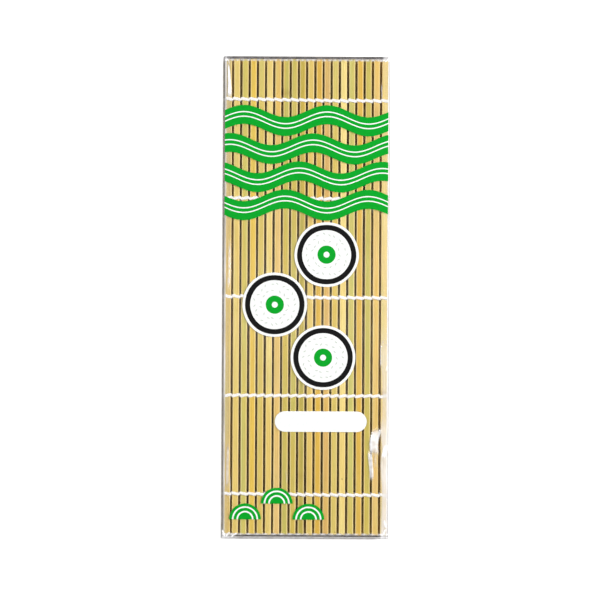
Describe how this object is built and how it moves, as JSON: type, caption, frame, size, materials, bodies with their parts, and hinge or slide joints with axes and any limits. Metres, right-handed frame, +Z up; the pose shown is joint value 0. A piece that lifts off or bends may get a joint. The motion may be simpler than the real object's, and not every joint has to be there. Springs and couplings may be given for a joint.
{
  "type": "sushi rolling mat",
  "caption": "Rolling mat of thin bamboo slats twined with cotton strings, folded in three inside a clear film pouch. The panels unfold and the front slats curl into a roll.",
  "frame": {"origin": "on the surface that the folded pack lies on, under the middle of the pouch's outline", "axes": "+Y along the slats, +X across the slats from the left fold to the right one, +Z up through the layers"},
  "size_m": [0.0848, 0.244, 0.0103],
  "materials": {
    "bamboo": "bare split bamboo, satin",
    "string": "twisted white cotton",
    "film": "clear glossy plastic film"
  },
  "bodies": {
    "middle_panel": {"middle_slats_1": "bamboo", "middle_slats_2": "bamboo", "middle_slats_3": "bamboo", "middle_slats_4": "bamboo", "middle_string_1": "string", "middle_string_2": "string", "middle_string_3": "string", "middle_string_4": "string", "middle_string_5": "string", "pouch_ends": "film"},
    "back_panel": {"back_slats_1": "bamboo", "back_slats_2": "bamboo", "back_slats_3": "bamboo", "back_slats_4": "bamboo", "back_string_1": "string", "back_string_2": "string", "back_string_3": "string", "back_string_4": "string", "back_string_5": "string", "back_knots": "string", "pouch_back": "film"},
    "front_panel": {"front_slat_01": "bamboo", "front_slat_02": "bamboo", "front_slat_03": "bamboo", "front_slat_04": "bamboo", "front_slat_05": "bamboo", "front_strings": "string"},
    "pouch_lid": {"pouch_front": "film"},
    "slat_06": {"front_slat_06": "bamboo", "front_wraps_06": "string"},
    "slat_07": {"front_slat_07": "bamboo", "front_wraps_07": "string"},
    "slat_08": {"front_slat_08": "bamboo", "front_wraps_08": "string"},
    "slat_09": {"front_slat_09": "bamboo", "front_wraps_09": "string"},
    "slat_10": {"front_slat_10": "bamboo", "front_wraps_10": "string"},
    "slat_11": {"front_slat_11": "bamboo", "front_wraps_11": "string"},
    "slat_12": {"front_slat_12": "bamboo", "front_wraps_12": "string"},
    "slat_13": {"front_slat_13": "bamboo", "front_wraps_13": "string"},
    "slat_14": {"front_slat_14": "bamboo", "front_wraps_14": "string"},
    "slat_15": {"front_slat_15": "bamboo", "front_wraps_15": "string"},
    "slat_16": {"front_slat_16": "bamboo", "front_wraps_16": "string"},
    "slat_17": {"front_slat_17": "bamboo", "front_wraps_17": "string"},
    "slat_18": {"front_slat_18": "bamboo", "front_wraps_18": "string"},
    "slat_19": {"front_slat_19": "bamboo", "front_wraps_19": "string"},
    "slat_20": {"front_slat_20": "bamboo", "front_wraps_20": "string", "front_knots": "string"}
  },
  "joints": [
    {"name": "back_fold", "type": "hinge", "parent": "middle_panel", "child": "back_panel", "pos_m": [0.04223, 0, 0.00352], "axis": [0, -1, 0], "range_deg": [0, 182]},
    {"name": "front_fold", "type": "hinge", "parent": "middle_panel", "child": "front_panel", "pos_m": [-0.04173, 0, 0.00682], "axis": [0, -1, 0], "range_deg": [0, 182]},
    {"name": "pouch_open", "type": "hinge", "parent": "front_panel", "child": "pouch_lid", "pos_m": [-0.04173, 0, 0.00682], "axis": [0, 1, 0], "range_deg": [-180, 0]},
    {"name": "front_roll", "type": "hinge", "parent": "front_panel", "child": "slat_06", "pos_m": [-0.0205, 0, 0.00947], "axis": [0, 1, 0], "range_deg": [-16, 0]},
    {"name": "slat_turn_07", "type": "hinge", "parent": "slat_06", "child": "slat_07", "pos_m": [-0.01635, 0, 0.00947], "axis": [0, 1, 0], "range_deg": [-16, 0]},
    {"name": "slat_turn_08", "type": "hinge", "parent": "slat_07", "child": "slat_08", "pos_m": [-0.0122, 0, 0.00947], "axis": [0, 1, 0], "range_deg": [-16, 0]},
    {"name": "slat_turn_09", "type": "hinge", "parent": "slat_08", "child": "slat_09", "pos_m": [-0.00805, 0, 0.00947], "axis": [0, 1, 0], "range_deg": [-16, 0]},
    {"name": "slat_turn_10", "type": "hinge", "parent": "slat_09", "child": "slat_10", "pos_m": [-0.0039, 0, 0.00947], "axis": [0, 1, 0], "range_deg": [-16, 0]},
    {"name": "slat_turn_11", "type": "hinge", "parent": "slat_10", "child": "slat_11", "pos_m": [0.00025, 0, 0.00947], "axis": [0, 1, 0], "range_deg": [-16, 0]},
    {"name": "slat_turn_12", "type": "hinge", "parent": "slat_11", "child": "slat_12", "pos_m": [0.0044, 0, 0.00947], "axis": [0, 1, 0], "range_deg": [-16, 0]},
    {"name": "slat_turn_13", "type": "hinge", "parent": "slat_12", "child": "slat_13", "pos_m": [0.00855, 0, 0.00947], "axis": [0, 1, 0], "range_deg": [-16, 0]},
    {"name": "slat_turn_14", "type": "hinge", "parent": "slat_13", "child": "slat_14", "pos_m": [0.0127, 0, 0.00947], "axis": [0, 1, 0], "range_deg": [-16, 0]},
    {"name": "slat_turn_15", "type": "hinge", "parent": "slat_14", "child": "slat_15", "pos_m": [0.01685, 0, 0.00947], "axis": [0, 1, 0], "range_deg": [-16, 0]},
    {"name": "slat_turn_16", "type": "hinge", "parent": "slat_15", "child": "slat_16", "pos_m": [0.021, 0, 0.00947], "axis": [0, 1, 0], "range_deg": [-16, 0]},
    {"name": "slat_turn_17", "type": "hinge", "parent": "slat_16", "child": "slat_17", "pos_m": [0.02515, 0, 0.00947], "axis": [0, 1, 0], "range_deg": [-16, 0]},
    {"name": "slat_turn_18", "type": "hinge", "parent": "slat_17", "child": "slat_18", "pos_m": [0.0293, 0, 0.00947], "axis": [0, 1, 0], "range_deg": [-16, 0]},
    {"name": "slat_turn_19", "type": "hinge", "parent": "slat_18", "child": "slat_19", "pos_m": [0.03345, 0, 0.00947], "axis": [0, 1, 0], "range_deg": [-16, 0]},
    {"name": "slat_turn_20", "type": "hinge", "parent": "slat_19", "child": "slat_20", "pos_m": [0.0376, 0, 0.00947], "axis": [0, 1, 0], "range_deg": [-16, 0]}
  ],
  "couplings": [
    {"joint": "slat_turn_07", "follows": "front_roll", "ratio": 1},
    {"joint": "slat_turn_08", "follows": "front_roll", "ratio": 1},
    {"joint": "slat_turn_09", "follows": "front_roll", "ratio": 1},
    {"joint": "slat_turn_10", "follows": "front_roll", "ratio": 1},
    {"joint": "slat_turn_11", "follows": "front_roll", "ratio": 1},
    {"joint": "slat_turn_12", "follows": "front_roll", "ratio": 1},
    {"joint": "slat_turn_13", "follows": "front_roll", "ratio": 1},
    {"joint": "slat_turn_14", "follows": "front_roll", "ratio": 1},
    {"joint": "slat_turn_15", "follows": "front_roll", "ratio": 1},
    {"joint": "slat_turn_16", "follows": "front_roll", "ratio": 1},
    {"joint": "slat_turn_17", "follows": "front_roll", "ratio": 1},
    {"joint": "slat_turn_18", "follows": "front_roll", "ratio": 1},
    {"joint": "slat_turn_19", "follows": "front_roll", "ratio": 1},
    {"joint": "slat_turn_20", "follows": "front_roll", "ratio": 1},
    {"joint": "pouch_open", "follows": "front_roll", "ratio": 11.25}
  ]
}
